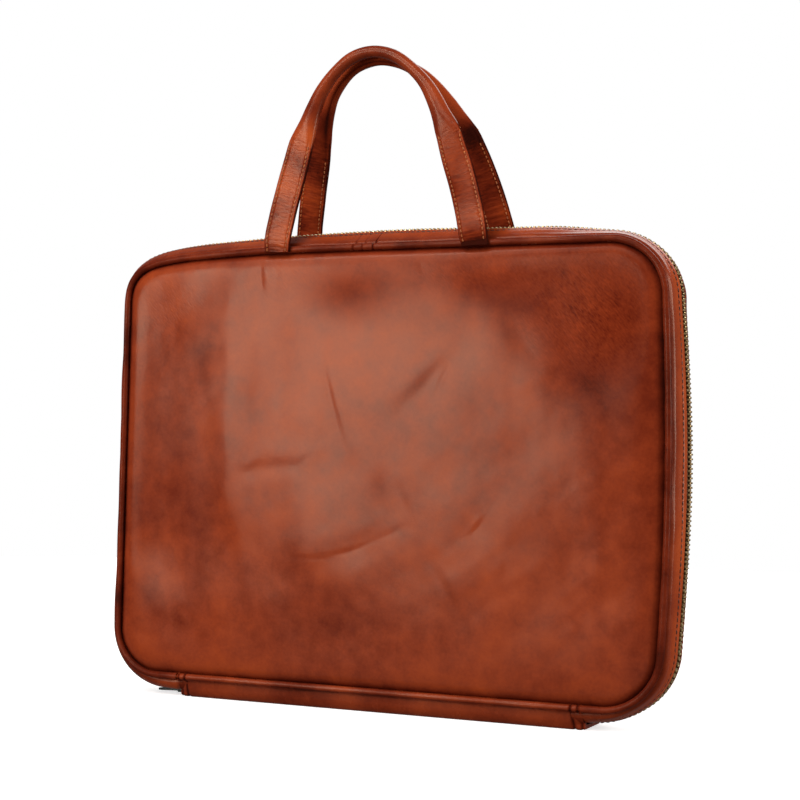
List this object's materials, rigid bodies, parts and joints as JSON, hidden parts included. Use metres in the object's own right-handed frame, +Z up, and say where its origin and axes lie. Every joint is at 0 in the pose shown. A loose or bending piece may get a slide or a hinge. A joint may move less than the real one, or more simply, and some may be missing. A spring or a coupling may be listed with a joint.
{
  "type": "leather laptop document case",
  "caption": "Slim leather laptop case with pillowed panels, corded edges, a zip round its sides and top, a thick base strip and rolled carrying handles.",
  "frame": {"origin": "middle of the bounding box, on the floor under the base strip", "axes": "+X to the right seen from the front, +Y to the back, +Z up; the front panel faces -Y"},
  "size_m": [0.394, 0.053, 0.4216],
  "materials": {
    "leather": "cognac brown vegetable-tanned leather with a cloudy hand finish and a soft sheen",
    "leather_edge": "the same leather, a little darker over cords and folds",
    "leather_handle": "the same leather, finely creased, with dark painted edges",
    "zip_tape": "dark brown woven zip tape",
    "zip_metal": "antique brass zip teeth, slightly dull",
    "slider_metal": "dark gunmetal plating"
  },
  "bodies": {
    "case": {"front_panel": "leather", "back_panel": "leather", "front_piping": "leather_edge", "back_piping": "leather_edge", "front_gusset": "leather_edge", "back_gusset": "leather_edge", "base_strip": "leather_edge", "front_handle": "leather_handle", "back_handle": "leather_handle", "front_tape": "zip_tape", "back_tape": "zip_tape", "zip_teeth": "zip_metal", "zip_slider": "slider_metal"},
    "puller": {"zip_puller": "slider_metal"}
  },
  "joints": [
    {"name": "puller_swing", "type": "hinge", "parent": "case", "child": "puller", "pos_m": [-0.14669, 0, 0.00211], "axis": [0, -1, 0], "range_deg": [0, 140]}
  ]
}
